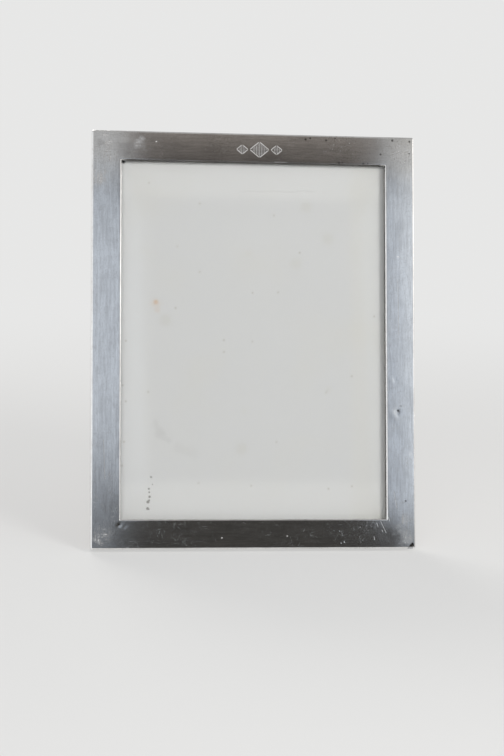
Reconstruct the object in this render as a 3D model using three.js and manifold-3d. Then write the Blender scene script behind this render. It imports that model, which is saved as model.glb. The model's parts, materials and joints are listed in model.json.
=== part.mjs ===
// Silver picture frame for a 6 x 8 inch picture, with an oak core and an oak strut back.
// Millimetres. Inside the leaning frame x runs to the right, y from the face to the back
// and z up the face, from the bottom edge of the silver.

import * as THREE from "three";
import { mergeVertices, toCreasedNormals } from "three/addons/utils/BufferGeometryUtils.js";
import Module from "manifold-3d";

// Picture and face
const pictureWidth = 152.4;
const pictureHeight = 203.2;
const sideOverlap = 2.6; // how far the silver covers the picture at its sides
const endOverlap = 3.2; // the same at top and bottom
const faceWidth = 16.4;

// Silver sheet
const silverGauge = 0.5;
const bendRadius = 0.9; // outside of the bends
const lipDepth = 3; // lip turned in round the sight opening

// Clearances
const fitGap = 0.3; // between pieces that lie on each other
const rebateGap = 0.5; // round the pieces in the rebate
const boreGap = 0.25; // round the hinge pin

// Pieces in the rebate, from the front
const glassThickness = 2;
const cardThickness = 0.5;
const packingThickness = 1.3;
const panelThickness = 4;
const panelChamfer = 0.5;

// Oak core
const coreReveal = 2; // oak that shows behind the silver
const coreChamfer = 1.4;

// Stand
const leanDegrees = 14;
const openingDegrees = 25; // from the panel to the strut
const hingeHeight = 150;
const strutThickness = 6;
const strutCheek = 2.2; // oak beside the barrel of the hinge
const strutFootWidth = 56;
const strutTopEdge = 1.2; // flat left above the bevelled stop
const strutChamfer = 0.8;

// Hinge
const hingeWidth = 24;
const knuckleRadius = 2;
const leafThickness = 0.9;
const leafHeight = 20;
const hingePinRadius = 0.8;
const hingePinProud = 0.5;
const hingeScrewFromSide = 5;
const hingeScrewFromEnd = 4.5;
const hingeScrewHead = 1.9;
const hingeScrewShank = 1;
const hingeScrewLength = 4.2;

// Turn-buttons
const buttonThickness = 1.2;
const buttonPivotRadius = 4.2;
const buttonTipRadius = 2.8;
const buttonHold = 4; // how far the tip lies on the panel
const buttonBevel = 0.25;
const buttonFromEnd = 57; // pivot to the top or bottom edge
const turnScrewShank = 1.2;
const turnScrewLength = 9;
const turnScrewHead = 2.7;
const turnScrewDome = 1.4;
const slotWidth = 0.6;
const slotDepth = 0.6;

// Pins
const sidePinHead = 1;
const sidePinShank = 0.5;
const sidePinLength = 7;
const stilePinFromEnd = 32; // outer pins of a stile to the top or bottom edge
const railPinFromSide = 40; // pins of a rail to the side
const mitrePinRadius = 0.7;
const mitrePinLength = 16;

// Sizes that follow
const sightWidth = pictureWidth - 2 * sideOverlap;
const sightHeight = pictureHeight - 2 * endOverlap;
const frameWidth = sightWidth + 2 * faceWidth;
const frameHeight = sightHeight + 2 * faceWidth;
const coreInset = silverGauge + fitGap;
const stileRebate = faceWidth - sideOverlap - rebateGap; // inset of the rebate's wall
const railRebate = faceWidth - endOverlap - rebateGap;
const glassFront = lipDepth + fitGap;
const cardFront = glassFront + glassThickness + fitGap;
const packingFront = cardFront + cardThickness + fitGap;
const panelFront = packingFront + packingThickness + fitGap;
const coreDepth = panelFront + panelThickness;
const sideDepth = coreDepth - coreReveal;
const lean = THREE.MathUtils.degToRad(leanDegrees);
const opening = THREE.MathUtils.degToRad(openingDegrees);

const roundSteps = 24;
const bendSteps = 3;

const silver = () => new THREE.MeshStandardMaterial({ color: 0xc4c6c9, metalness: 1, roughness: 0.2 });
const oak = () => new THREE.MeshStandardMaterial({ color: 0x7a4a26, metalness: 0, roughness: 0.45 });
const brass = () => new THREE.MeshStandardMaterial({ color: 0xb08a45, metalness: 1, roughness: 0.3 });
const steel = () => new THREE.MeshStandardMaterial({ color: 0x8a8c8f, metalness: 1, roughness: 0.4 });
const card = () => new THREE.MeshStandardMaterial({ color: 0xe9e8e3, metalness: 0, roughness: 0.9 });
const strawboard = () => new THREE.MeshStandardMaterial({ color: 0xb39a68, metalness: 0, roughness: 0.95 });
const clearGlass = () =>
  new THREE.MeshStandardMaterial({
    color: 0xf4f8f6,
    metalness: 0,
    roughness: 0.03,
    transparent: true,
    opacity: 0.25,
  });

const wasm = await Module();
wasm.setup();

// Closed body of a geometry: corners welded, and the triangles that collapse on a turning axis left out
function solid(geometry) {
  const bare = geometry.clone();
  bare.deleteAttribute("normal");
  bare.deleteAttribute("uv");
  const welded = mergeVertices(bare, 1e-4);
  const corners = welded.index.array;
  const triangles = [];
  for (let i = 0; i < corners.length; i += 3) {
    const [a, b, c] = corners.slice(i, i + 3);
    if (a !== b && b !== c && c !== a) triangles.push(a, b, c);
  }
  return new wasm.Manifold(
    new wasm.Mesh({
      numProp: 3,
      vertProperties: new Float32Array(welded.attributes.position.array),
      triVerts: new Uint32Array(triangles),
    }),
  );
}

function geometryOf(body) {
  const mesh = body.getMesh();
  const geometry = new THREE.BufferGeometry();
  geometry.setAttribute("position", new THREE.BufferAttribute(mesh.vertProperties, 3));
  geometry.setIndex(new THREE.BufferAttribute(mesh.triVerts, 1));
  return toCreasedNormals(geometry, THREE.MathUtils.degToRad(32));
}

function piece(name, geometry, material, parent) {
  const mesh = new THREE.Mesh(geometryOf(solid(geometry)), material);
  mesh.name = name;
  parent.add(mesh);
  return mesh;
}

// Takes the shapes of placed tools out of a piece that stands in the same group
function cut(target, ...tools) {
  target.updateMatrix();
  const toTarget = target.matrix.clone().invert();
  let body = solid(target.geometry);
  for (const tool of tools) {
    tool.updateMatrix();
    const shape = tool.geometry.clone().applyMatrix4(tool.matrix).applyMatrix4(toTarget);
    body = body.subtract(solid(shape));
  }
  target.geometry = geometryOf(body);
}

// Hole for a placed pin or screw
function holeFor(fastener, geometry) {
  const hole = new THREE.Mesh(geometry);
  hole.position.copy(fastener.position);
  hole.quaternion.copy(fastener.quaternion);
  return hole;
}

// Plate with the given outline in x and z, from y = 0 to its thickness
function plate(outline, thickness, chamfer) {
  const geometry = new THREE.ExtrudeGeometry(outline, {
    depth: thickness - 2 * chamfer,
    bevelEnabled: chamfer > 0,
    bevelThickness: chamfer,
    bevelSize: chamfer,
    bevelOffset: -chamfer,
    bevelSegments: 1,
    curveSegments: roundSteps / 2,
  });
  geometry.rotateX(Math.PI / 2);
  return geometry.translate(0, thickness - chamfer, 0);
}

// Bar across the frame, centred on x = 0, from its section in y and z
function across(section, width) {
  const geometry = new THREE.ExtrudeGeometry(section, { depth: width, bevelEnabled: false });
  geometry.translate(0, 0, -width / 2);
  const turn = new THREE.Matrix4().makeBasis(
    new THREE.Vector3(0, 1, 0),
    new THREE.Vector3(0, 0, 1),
    new THREE.Vector3(1, 0, 0),
  );
  return geometry.applyMatrix4(turn);
}

function roundBar(radius, length) {
  return new THREE.CylinderGeometry(radius, radius, length, roundSteps).rotateZ(Math.PI / 2);
}

// Countersunk pin or screw: flat of the head at y = 0, point at y = -length
function countersunk(head, shank, length) {
  const outline = [
    new THREE.Vector2(0, -length),
    new THREE.Vector2(shank, -length + shank),
    new THREE.Vector2(shank, shank - head),
    new THREE.Vector2(head, 0),
    new THREE.Vector2(0, 0),
  ];
  return new THREE.LatheGeometry(outline, roundSteps);
}

function countersunkHole(head, shank, length) {
  return countersunk(head + fitGap, shank + fitGap, length + fitGap);
}

// Screwdriver slot in a head whose top is at y = top
function slotted(screw, head, top) {
  const slot = new THREE.Mesh(new THREE.BoxGeometry(3 * head, 2 * slotDepth, slotWidth));
  slot.position.copy(screw.position).add(new THREE.Vector3(0, top, 0).applyQuaternion(screw.quaternion));
  slot.quaternion.copy(screw.quaternion);
  cut(screw, slot);
}

function rectangle(width, height) {
  const outline = new THREE.Shape();
  outline.moveTo(-width / 2, -height / 2);
  outline.lineTo(width / 2, -height / 2);
  outline.lineTo(width / 2, height / 2);
  outline.lineTo(-width / 2, height / 2);
  outline.closePath();
  return outline;
}

const frame = new THREE.Group();
frame.name = "frame";
frame.rotation.x = -lean;

// Silver front. The section of the sheet, as inset from the outer edge and depth from the face,
// is carried round the four mitred corners.
const sheet = new THREE.Shape();
sheet.moveTo(0, sideDepth);
sheet.lineTo(0, bendRadius);
sheet.absarc(bendRadius, bendRadius, bendRadius, Math.PI, 1.5 * Math.PI, false);
sheet.lineTo(faceWidth - bendRadius, 0);
sheet.absarc(faceWidth - bendRadius, bendRadius, bendRadius, 1.5 * Math.PI, 2 * Math.PI, false);
sheet.lineTo(faceWidth, lipDepth);
sheet.lineTo(faceWidth - silverGauge, lipDepth);
sheet.lineTo(faceWidth - silverGauge, bendRadius);
sheet.absarc(
  faceWidth - bendRadius, bendRadius, bendRadius - silverGauge, 2 * Math.PI, 1.5 * Math.PI, true,
);
sheet.lineTo(bendRadius, silverGauge);
sheet.absarc(bendRadius, bendRadius, bendRadius - silverGauge, 1.5 * Math.PI, Math.PI, true);
sheet.lineTo(silverGauge, sideDepth);
sheet.closePath();

function mitredFrame(section, width, height) {
  const line = section.getPoints(bendSteps).reverse();
  const geometry = new THREE.LatheGeometry(line, 4, Math.PI / 4);
  const position = geometry.attributes.position;
  for (let i = 0; i < position.count; i++) {
    const { x: inset, y: depth } = line[i % line.length];
    const corner = Math.PI / 4 + (Math.floor(i / line.length) * Math.PI) / 2;
    const x = Math.sign(Math.sin(corner)) * (width / 2 - inset);
    const z = height / 2 + Math.sign(Math.cos(corner)) * (height / 2 - inset);
    position.setXYZ(i, x, depth, z);
  }
  return geometry;
}

const silverFront = piece("silver_front", mitredFrame(sheet, frameWidth, frameHeight), silver(), frame);

// Oak core: four rebated lengths whose ends are mitred. In each length x runs along it,
// y is the depth from the face and z the inset from the outer edge.
function coreSection(rebate) {
  const ledge = faceWidth - silverGauge - fitGap;
  const section = new THREE.Shape();
  section.moveTo(coreInset, coreInset);
  section.lineTo(ledge, coreInset);
  section.lineTo(ledge, lipDepth);
  section.lineTo(rebate, lipDepth);
  section.lineTo(rebate, coreDepth);
  section.lineTo(coreInset + coreChamfer, coreDepth);
  section.lineTo(coreInset, coreDepth - coreChamfer);
  section.closePath();
  return section;
}

function mitredLength(section, length) {
  const geometry = new THREE.ExtrudeGeometry(section, { depth: 1, bevelEnabled: false });
  const position = geometry.attributes.position;
  for (let i = 0; i < position.count; i++) {
    const inset = position.getX(i);
    const depth = position.getY(i);
    const end = 1 - 2 * position.getZ(i);
    position.setXYZ(i, end * (length / 2 - inset - fitGap), depth, inset);
  }
  return geometry;
}

const rail = mitredLength(coreSection(railRebate), frameWidth);
const stile = mitredLength(coreSection(stileRebate), frameHeight);
const bottomRail = piece("bottom_rail", rail, oak(), frame);
const topRail = piece("top_rail", rail, oak(), frame);
topRail.position.z = frameHeight;
topRail.rotation.y = Math.PI;
const leftStile = piece("left_stile", stile, oak(), frame);
leftStile.position.set(-frameWidth / 2, 0, frameHeight / 2);
leftStile.rotation.y = Math.PI / 2;
const rightStile = piece("right_stile", stile, oak(), frame);
rightStile.position.set(frameWidth / 2, 0, frameHeight / 2);
rightStile.rotation.y = -Math.PI / 2;

// Steel pins driven from the top and bottom rails through the mitres into the stiles
const mitrePin = new THREE.CylinderGeometry(mitrePinRadius, mitrePinRadius, mitrePinLength, roundSteps / 2);
const mitreHoleLength = mitrePinLength + 4 * fitGap; // breaks out of the rail's outer face
const mitreHole = new THREE.CylinderGeometry(
  mitrePinRadius + fitGap, mitrePinRadius + fitGap, mitreHoleLength, roundSteps / 2,
);
for (const [level, railPiece] of [["bottom", bottomRail], ["top", topRail]]) {
  for (const [side, stilePiece] of [["left", leftStile], ["right", rightStile]]) {
    const pin = piece(`mitre_pin_${level}_${side}`, mitrePin, steel(), frame);
    const fromEdge = coreInset + fitGap + mitrePinLength / 2;
    const x = frameWidth / 2 - (coreInset + stileRebate) / 2;
    pin.position.set(
      side === "left" ? -x : x,
      (lipDepth + coreDepth) / 2,
      level === "bottom" ? fromEdge : frameHeight - fromEdge,
    );
    pin.rotation.x = Math.PI / 2;
    const hole = holeFor(pin, mitreHole);
    cut(railPiece, hole);
    cut(stilePiece, hole);
  }
}

// Silver pins through the turned-back sides into the core
const sidePin = countersunk(sidePinHead, sidePinShank, sidePinLength);
const sidePinHole = countersunkHole(sidePinHead, sidePinShank, sidePinLength);
const sidePinDepth = (lipDepth + sideDepth) / 2;

function drive(name, x, z, direction, corePiece) {
  const pin = piece(name, sidePin, silver(), frame);
  pin.position.set(x, sidePinDepth, z);
  pin.quaternion.setFromUnitVectors(new THREE.Vector3(0, -1, 0), direction);
  const hole = holeFor(pin, sidePinHole);
  cut(silverFront, hole);
  cut(corePiece, hole);
}

[stilePinFromEnd, frameHeight / 2, frameHeight - stilePinFromEnd].forEach((z, i) => {
  drive(`side_pin_left_${i + 1}`, -frameWidth / 2, z, new THREE.Vector3(1, 0, 0), leftStile);
  drive(`side_pin_right_${i + 1}`, frameWidth / 2, z, new THREE.Vector3(-1, 0, 0), rightStile);
});
[railPinFromSide - frameWidth / 2, frameWidth / 2 - railPinFromSide].forEach((x, i) => {
  drive(`side_pin_bottom_${i + 1}`, x, 0, new THREE.Vector3(0, 0, 1), bottomRail);
  drive(`side_pin_top_${i + 1}`, x, frameHeight, new THREE.Vector3(0, 0, -1), topRail);
});

// Pieces that lie in the rebate
function inRebate(name, front, thickness, chamfer, material) {
  const outline = rectangle(pictureWidth, pictureHeight);
  const mesh = piece(name, plate(outline, thickness, chamfer), material, frame);
  mesh.position.set(0, front, frameHeight / 2);
  return mesh;
}

inRebate("glass", glassFront, glassThickness, 0, clearGlass());
inRebate("picture_card", cardFront, cardThickness, 0, card());
inRebate("packing_board", packingFront, packingThickness, 0, strawboard());
const backPanel = inRebate("back_panel", panelFront, panelThickness, panelChamfer, oak());

// Brass turn-buttons on the back of the stiles. Each is a pear whose tip lies on the panel.
const buttonInset = (coreInset + coreChamfer + stileRebate) / 2;
const buttonReach = stileRebate + rebateGap - buttonInset + buttonHold;
const pearAngle = Math.acos((buttonPivotRadius - buttonTipRadius) / (buttonReach - buttonTipRadius));
const pear = new THREE.Shape();
pear.absarc(0, 0, buttonPivotRadius, pearAngle, 2 * Math.PI - pearAngle, false);
pear.absarc(buttonReach - buttonTipRadius, 0, buttonTipRadius, -pearAngle, pearAngle, false);
pear.closePath();
const pivotHole = new THREE.Path();
pivotHole.absarc(0, 0, turnScrewShank + fitGap, 0, 2 * Math.PI, false);
pear.holes.push(pivotHole);
const button = plate(pear, buttonThickness, buttonBevel);

const domeSteps = 5;
const turnScrewLine = [
  new THREE.Vector2(0, -turnScrewLength),
  new THREE.Vector2(turnScrewShank, turnScrewShank - turnScrewLength),
  new THREE.Vector2(turnScrewShank, 0),
];
for (let i = 0; i <= domeSteps; i++) {
  const angle = (i / domeSteps) * (Math.PI / 2);
  turnScrewLine.push(new THREE.Vector2(turnScrewHead * Math.cos(angle), turnScrewDome * Math.sin(angle)));
}
turnScrewLine[turnScrewLine.length - 1].x = 0;
const turnScrew = new THREE.LatheGeometry(turnScrewLine, roundSteps);
const turnScrewHole = new THREE.CylinderGeometry(
  turnScrewShank + fitGap, turnScrewShank + fitGap, 2 * (turnScrewLength + fitGap), roundSteps,
);

// Name, side of the frame, height of the pivot and turn of the screw's slot in degrees
const buttonPlaces = [
  ["lower_left", -1, buttonFromEnd, 20],
  ["lower_right", 1, buttonFromEnd, 65],
  ["upper_left", -1, frameHeight - buttonFromEnd, 70],
  ["upper_right", 1, frameHeight - buttonFromEnd, -15],
];
for (const [place, side, z, slotTurn] of buttonPlaces) {
  const x = side * (frameWidth / 2 - buttonInset);
  const turnButton = piece(`turn_button_${place}`, button, brass(), frame);
  turnButton.position.set(x, coreDepth + fitGap, z);
  turnButton.rotation.y = side < 0 ? 0 : Math.PI;
  const screw = piece(`turn_screw_${place}`, turnScrew, brass(), frame);
  screw.position.set(x, coreDepth + 2 * fitGap + buttonThickness, z);
  screw.rotation.y = THREE.MathUtils.degToRad(slotTurn);
  cut(side < 0 ? leftStile : rightStile, holeFor(screw, turnScrewHole));
  slotted(screw, turnScrewHead, turnScrewDome);
}

// Butt hinge of the strut. Its axis lies across the frame behind the back panel.
const hinge = new THREE.Group();
hinge.name = "hinge";
hinge.position.set(0, coreDepth + fitGap + knuckleRadius, hingeHeight);
frame.add(hinge);

const knuckleLength = (hingeWidth - 2 * fitGap) / 3;
const leafFront = -knuckleRadius;
const leafBack = leafFront + leafThickness;

// Leaf from the axis up or down, with its own knuckles and room for those of the other leaf
function hingeLeaf(direction, ownKnuckles, otherKnuckles) {
  const leaf = new THREE.BoxGeometry(hingeWidth, leafThickness, leafHeight);
  leaf.translate(0, (leafFront + leafBack) / 2, (direction * leafHeight) / 2);
  let body = solid(leaf);
  const reach = 2 * (knuckleRadius + fitGap);
  for (const x of otherKnuckles) {
    const room = new THREE.BoxGeometry(knuckleLength + 2 * fitGap, reach, reach);
    body = body.subtract(solid(room.translate(x, 0, 0)));
  }
  for (const x of ownKnuckles) {
    body = body.add(solid(roundBar(knuckleRadius, knuckleLength).translate(x, 0, 0)));
  }
  const bore = roundBar(hingePinRadius + boreGap, 2 * hingeWidth);
  return geometryOf(body.subtract(solid(bore)));
}

const outerKnuckle = knuckleLength + fitGap;
const fixedLeafShape = hingeLeaf(1, [-outerKnuckle, outerKnuckle], [0]);
const fixedLeaf = piece("hinge_fixed_leaf", fixedLeafShape, brass(), hinge);
piece("hinge_pin", roundBar(hingePinRadius, hingeWidth + 2 * hingePinProud), brass(), hinge);

const hingeScrew = countersunk(hingeScrewHead, hingeScrewShank, hingeScrewLength);
const hingeScrewHole = countersunkHole(hingeScrewHead, hingeScrewShank, hingeScrewLength);
const hingeScrewSide = hingeWidth / 2 - hingeScrewFromSide;
const hingeScrewReach = leafHeight - hingeScrewFromEnd;
const screwSides = [["left", -hingeScrewSide], ["right", hingeScrewSide]];

for (const [side, x] of screwSides) {
  const screw = piece(`hinge_screw_fixed_${side}`, hingeScrew, brass(), hinge);
  screw.position.set(x, leafBack, hingeScrewReach);
  cut(fixedLeaf, holeFor(screw, hingeScrewHole));
  const panelHole = holeFor(screw, hingeScrewHole);
  panelHole.position.add(hinge.position);
  cut(backPanel, panelHole);
  slotted(screw, hingeScrewHead, 0);
}

// Strut. Drawn hanging from the hinge axis and swung out by its group. Its top is bevelled
// so that the bevel comes to lie on the fixed leaf, which stops it.
const swing = new THREE.Group();
swing.name = "strut_swing";
swing.rotation.x = opening;
hinge.add(swing);

const strutLeafShape = hingeLeaf(-1, [0], [-outerKnuckle, outerKnuckle]);
const strutLeaf = piece("hinge_strut_leaf", strutLeafShape, brass(), swing);

const stopOffset = knuckleRadius - leafThickness - fitGap; // axis to the strut's front and to its bevel
const strutBack = strutThickness - stopOffset;
const bevelTop = ((strutBack - strutTopEdge) * Math.cos(opening) + stopOffset) / Math.sin(opening);
const groundDrop = Math.max(
  sideDepth * Math.sin(lean),
  (coreDepth - coreChamfer) * Math.sin(lean) - coreInset * Math.cos(lean),
);
const axisHeight = hingeHeight * Math.cos(lean) - hinge.position.y * Math.sin(lean) + groundDrop;
const splay = opening - lean; // strut to the vertical
const footAt = (y) => -(axisHeight + y * Math.sin(splay)) / Math.cos(splay);

const strutSection = new THREE.Shape();
strutSection.moveTo(-stopOffset, footAt(-stopOffset));
strutSection.lineTo(strutBack, footAt(strutBack));
strutSection.lineTo(strutBack, bevelTop);
strutSection.lineTo(strutBack - strutTopEdge, bevelTop);
strutSection.lineTo(-stopOffset, stopOffset * Math.tan(opening / 2));
strutSection.closePath();

const footLevel = footAt(strutBack);
const barrelSpace = hingeWidth + 2 * (hingePinProud + fitGap);
const strutTopWidth = barrelSpace + 2 * strutCheek;
const taper = (strutFootWidth - strutTopWidth) / 2 / (bevelTop - footLevel);
const spare = strutThickness; // the outline runs past the top and the foot, where the section ends it
const strutOutline = new THREE.Shape();
strutOutline.moveTo(-strutFootWidth / 2 - taper * spare, footLevel - spare);
strutOutline.lineTo(strutFootWidth / 2 + taper * spare, footLevel - spare);
strutOutline.lineTo(strutTopWidth / 2 - taper * spare, bevelTop + spare);
strutOutline.lineTo(-strutTopWidth / 2 + taper * spare, bevelTop + spare);
strutOutline.closePath();

const strutBlank = plate(strutOutline, strutThickness, strutChamfer).translate(0, -stopOffset, 0);
const barrelRoom = roundBar(knuckleRadius + fitGap, barrelSpace);
const strutBody = solid(across(strutSection, 2 * strutFootWidth))
  .intersect(solid(strutBlank))
  .subtract(solid(barrelRoom));
const strut = piece("strut", geometryOf(strutBody), oak(), swing);

for (const [side, x] of screwSides) {
  const screw = piece(`hinge_screw_strut_${side}`, hingeScrew, brass(), swing);
  screw.position.set(x, leafFront, -hingeScrewReach);
  screw.rotation.x = Math.PI;
  const hole = holeFor(screw, hingeScrewHole);
  cut(strutLeaf, hole);
  cut(strut, hole);
  slotted(screw, hingeScrewHead, 0);
}

// The part stands on the silver's lower back edge and the strut's foot, with the origin
// in the middle of the ground it covers.
const part = new THREE.Group();
part.name = "picture_frame";
part.add(frame);
part.updateMatrixWorld(true);
const box = new THREE.Box3().setFromObject(part, true);
frame.position.set(-(box.min.x + box.max.x) / 2, -(box.min.y + box.max.y) / 2, -box.min.z);

export default part;
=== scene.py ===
# Free-standing picture frame: a sheet-silver front over a mitred oak core, with glass, card and a strut back.
# Pieces are set out in the leaning frame's own axes: x across, y back from the face, and z up from its
# bottom edge.
import json
import math

import bmesh
import bpy
from mathutils import Matrix, Vector, noise


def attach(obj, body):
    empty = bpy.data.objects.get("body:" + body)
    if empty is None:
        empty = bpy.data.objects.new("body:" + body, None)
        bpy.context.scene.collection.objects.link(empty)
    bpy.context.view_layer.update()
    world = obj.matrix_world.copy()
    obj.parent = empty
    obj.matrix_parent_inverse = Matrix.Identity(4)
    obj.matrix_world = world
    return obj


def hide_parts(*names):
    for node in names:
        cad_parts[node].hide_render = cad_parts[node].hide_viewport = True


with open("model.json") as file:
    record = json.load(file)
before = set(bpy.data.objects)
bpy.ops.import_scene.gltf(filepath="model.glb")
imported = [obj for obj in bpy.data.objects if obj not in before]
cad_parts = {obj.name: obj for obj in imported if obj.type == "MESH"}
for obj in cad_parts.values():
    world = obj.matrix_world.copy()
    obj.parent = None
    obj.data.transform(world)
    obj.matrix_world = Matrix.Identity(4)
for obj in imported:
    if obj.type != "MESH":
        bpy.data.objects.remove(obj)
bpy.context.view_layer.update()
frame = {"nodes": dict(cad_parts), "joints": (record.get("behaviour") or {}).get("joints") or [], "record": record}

# Oak core. Four lengths of oak, rebated for the glass and the back, mitred at the corners and glued.
# Each is planed along its grain, its arrises are just broken with glasspaper, and it is sealed with shellac.
MM = 0.001
OAK_LIGHT = (0.36, 0.195, 0.085, 1)
OAK_BROWN = (0.235, 0.112, 0.043, 1)
OAK_PORE = (0.07, 0.03, 0.012, 1)
OAK_PAINTED_SHADE = (0.006, 0.005, 0.004, 1)
core_arris = 0.25 * MM
core_least_edge = 4 * MM
painted_shade_depth = 1.1 * MM
ring_width = 2.6 * MM
weld_reach = 0.001 * MM
flat_angle = math.radians(0.4)
arris_angle = math.radians(28)
sharp_angle = math.radians(32)

up_face = -Vector(frame["record"]["mounts"][0]["axis"])
back_from_face = Vector(frame["joints"][1]["axis"])
sheet_solid = [v.co for v in frame["nodes"]["silver_front"].data.vertices]
lean = Matrix((Vector((1, 0, 0)), back_from_face, up_face)).transposed().to_4x4()
lean.translation = (
    back_from_face * min(p.dot(back_from_face) for p in sheet_solid)
    + up_face * min(p.dot(up_face) for p in sheet_solid)
)


class Tone:
    """A value that changes over a finish, held as a node's socket. Sums on it add Math nodes."""

    def __init__(self, tree, socket=None):
        self.tree = tree
        self.socket = socket

    def node(self, kind, settings=None, inputs=None, out=0):
        made = self.tree.nodes.new(kind)
        for key, value in (settings or {}).items():
            setattr(made, key, value)
        for key, value in (inputs or {}).items():
            if isinstance(value, Tone):
                self.tree.links.new(value.socket, made.inputs[key])
            else:
                made.inputs[key].default_value = value
        if not made.outputs:
            return None
        return Tone(self.tree, made.outputs[out])

    def maths(self, operation, *values):
        return self.node("ShaderNodeMath", {"operation": operation}, dict(enumerate(values)))

    def __add__(self, other):
        return self.maths("ADD", self, other)

    def __sub__(self, other):
        return self.maths("SUBTRACT", self, other)

    def __mul__(self, other):
        return self.maths("MULTIPLY", self, other)

    def __truediv__(self, other):
        return self.maths("DIVIDE", self, other)

    def __radd__(self, other):
        return self.maths("ADD", other, self)

    def __rsub__(self, other):
        return self.maths("SUBTRACT", other, self)

    def __rmul__(self, other):
        return self.maths("MULTIPLY", other, self)

    def __abs__(self):
        return self.maths("ABSOLUTE", self)

    def root(self):
        return self.maths("SQRT", self)

    def part_over(self):
        return self.maths("FRACT", self)

    def most(self, other):
        return self.maths("MAXIMUM", self, other)

    def least(self, other):
        return self.maths("MINIMUM", self, other)

    def rise(self, low, high):
        """0 up to low, 1 from high on, and a soft step between; low may be the higher of the two."""
        return self.node(
            "ShaderNodeMapRange",
            {"interpolation_type": "SMOOTHSTEP"},
            {"Value": self, "From Min": low, "From Max": high},
        )

    def mix(self, under, over):
        """The colour under where this is 0, and over where it is 1."""
        return self.node(
            "ShaderNodeMix",
            {"data_type": "RGBA"},
            {0: self, 6: under, 7: over},
            2,
        )

    def stretch(self, x, y, z):
        return self.node("ShaderNodeVectorMath", {"operation": "MULTIPLY"}, {0: self, 1: (x, y, z)})

    def shift(self, x, y, z):
        return self.node("ShaderNodeVectorMath", {"operation": "ADD"}, {0: self, 1: (x, y, z)})

    def cloud(self, scale, detail=2.0, rough=0.5, out="Fac"):
        inputs = {"Vector": self, "Scale": scale, "Detail": detail, "Roughness": rough}
        return self.node("ShaderNodeTexNoise", {}, inputs, out)

    def stirred(self, scale, reach):
        """The same place, pushed about by up to half of reach, in swirls of 1 / scale."""
        drift = self.cloud(scale, 2.0, 0.5, "Color").shift(-0.5, -0.5, -0.5).stretch(reach, reach, reach)
        return self.node("ShaderNodeVectorMath", {"operation": "ADD"}, {0: self, 1: drift})

    def reach_along(self, way):
        """How far this place lies from the origin along a direction."""
        return self.node("ShaderNodeVectorMath", {"operation": "DOT_PRODUCT"}, {0: self, 1: way}, "Value")

    def axes(self):
        split = self.node("ShaderNodeSeparateXYZ", {}, {"Vector": self}).socket.node
        return [Tone(self.tree, socket) for socket in split.outputs]

    def bump(self, height, strength):
        """The surface's normal where this many metres of relief are added."""
        return self.node("ShaderNodeBump", {}, {"Height": self, "Distance": height, "Strength": strength})


def new_finish(name):
    finish = bpy.data.materials.new(name)
    finish.use_nodes = True
    finish.node_tree.nodes.clear()
    return finish, Tone(finish.node_tree)


def lay_on(tone, sockets):
    shader = tone.node("ShaderNodeBsdfPrincipled", {}, sockets)
    tone.node("ShaderNodeOutputMaterial", {}, {"Surface": shader})


def oak_finish(name, lengthwise, heart, tree_place, black_depth=None):
    """Flat-sawn oak: growth rings round a heart beside the board, open pores in the spring wood and pale
    rays. Down to black_depth from the face, behind the silver, the wood is painted near black: painted
    shade for the dark that shows through the split seam."""
    finish, wood = new_finish(name)
    place = wood.node("ShaderNodeTexCoord", out="Object").shift(*tree_place)
    x, deep, z = place.axes()
    across = z if lengthwise == "x" else x
    fine = (60, 900, 900) if lengthwise == "x" else (900, 900, 60)
    ray = (55, 260, 700) if lengthwise == "x" else (700, 260, 55)
    slow = (5, 22, 22) if lengthwise == "x" else (22, 22, 5)
    sway = place.stretch(*slow).cloud(1.0, 2.0) * 16 * MM
    ring_x = across - heart[0] + sway
    ring_y = deep - heart[1] + sway * 0.6
    ring = ((ring_x * ring_x + ring_y * ring_y).root() / ring_width).part_over()
    spring_wood = ring.rise(0.55, 0.0)
    pores = place.stretch(*fine).cloud(2.4, 1.0).rise(0.58, 0.68) * (0.25 + 0.75 * spring_wood)
    rays = place.stretch(*ray).cloud(1.0, 0.0).rise(0.66, 0.74)
    weather = place.cloud(26.0, 3.0)
    ground = (0.65 * spring_wood + 0.5 * weather - 0.1).mix(OAK_LIGHT, OAK_BROWN)
    rayed = (0.3 * rays).mix(ground, OAK_LIGHT)
    colour = (0.85 * pores).mix(rayed, OAK_PORE)
    # Painted shade: the core's front is painted near black for the dark that shows through the split seam.
    if black_depth:
        colour = deep.rise(1.3 * black_depth, black_depth).mix(colour, OAK_PAINTED_SHADE)
    lay_on(wood, {
        "Base Color": colour,
        "Roughness": 0.42 + 0.22 * pores + 0.12 * weather,
        "Coat Weight": 0.18,
        "Coat Roughness": 0.3,
        "Normal": (0.0 - pores - 0.25 * spring_wood).bump(0.08 * MM, 0.7),
    })
    return finish


def dressed_skin(name, node, home, arris, least_edge=0.0):
    """A clean skin over a CAD solid, in home's axes: welded, planes made whole, and its arrises broken."""
    skin = bmesh.new()
    solid = frame["nodes"][node].data
    into_home = home.inverted()
    corners = [skin.verts.new(into_home @ v.co) for v in solid.vertices]
    for face in solid.polygons:
        skin.faces.new([corners[i] for i in face.vertices])
    bmesh.ops.remove_doubles(skin, verts=skin.verts, dist=weld_reach)
    bmesh.ops.dissolve_limit(skin, angle_limit=flat_angle, verts=skin.verts, edges=skin.edges)
    arrises = [
        e for e in skin.edges
        if len(e.link_faces) == 2 and e.calc_face_angle() > arris_angle and e.calc_length() > least_edge
    ]
    if arris:
        bmesh.ops.bevel(
            skin, geom=arrises, offset=arris, segments=2, profile=0.6, affect="EDGES", clamp_overlap=True
        )
    bmesh.ops.dissolve_degenerate(skin, dist=weld_reach, edges=skin.edges)
    mesh = bpy.data.meshes.new(name)
    skin.to_mesh(mesh)
    skin.free()
    mesh.shade_smooth()
    mesh.set_sharp_from_angle(angle=sharp_angle)
    return mesh


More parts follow.
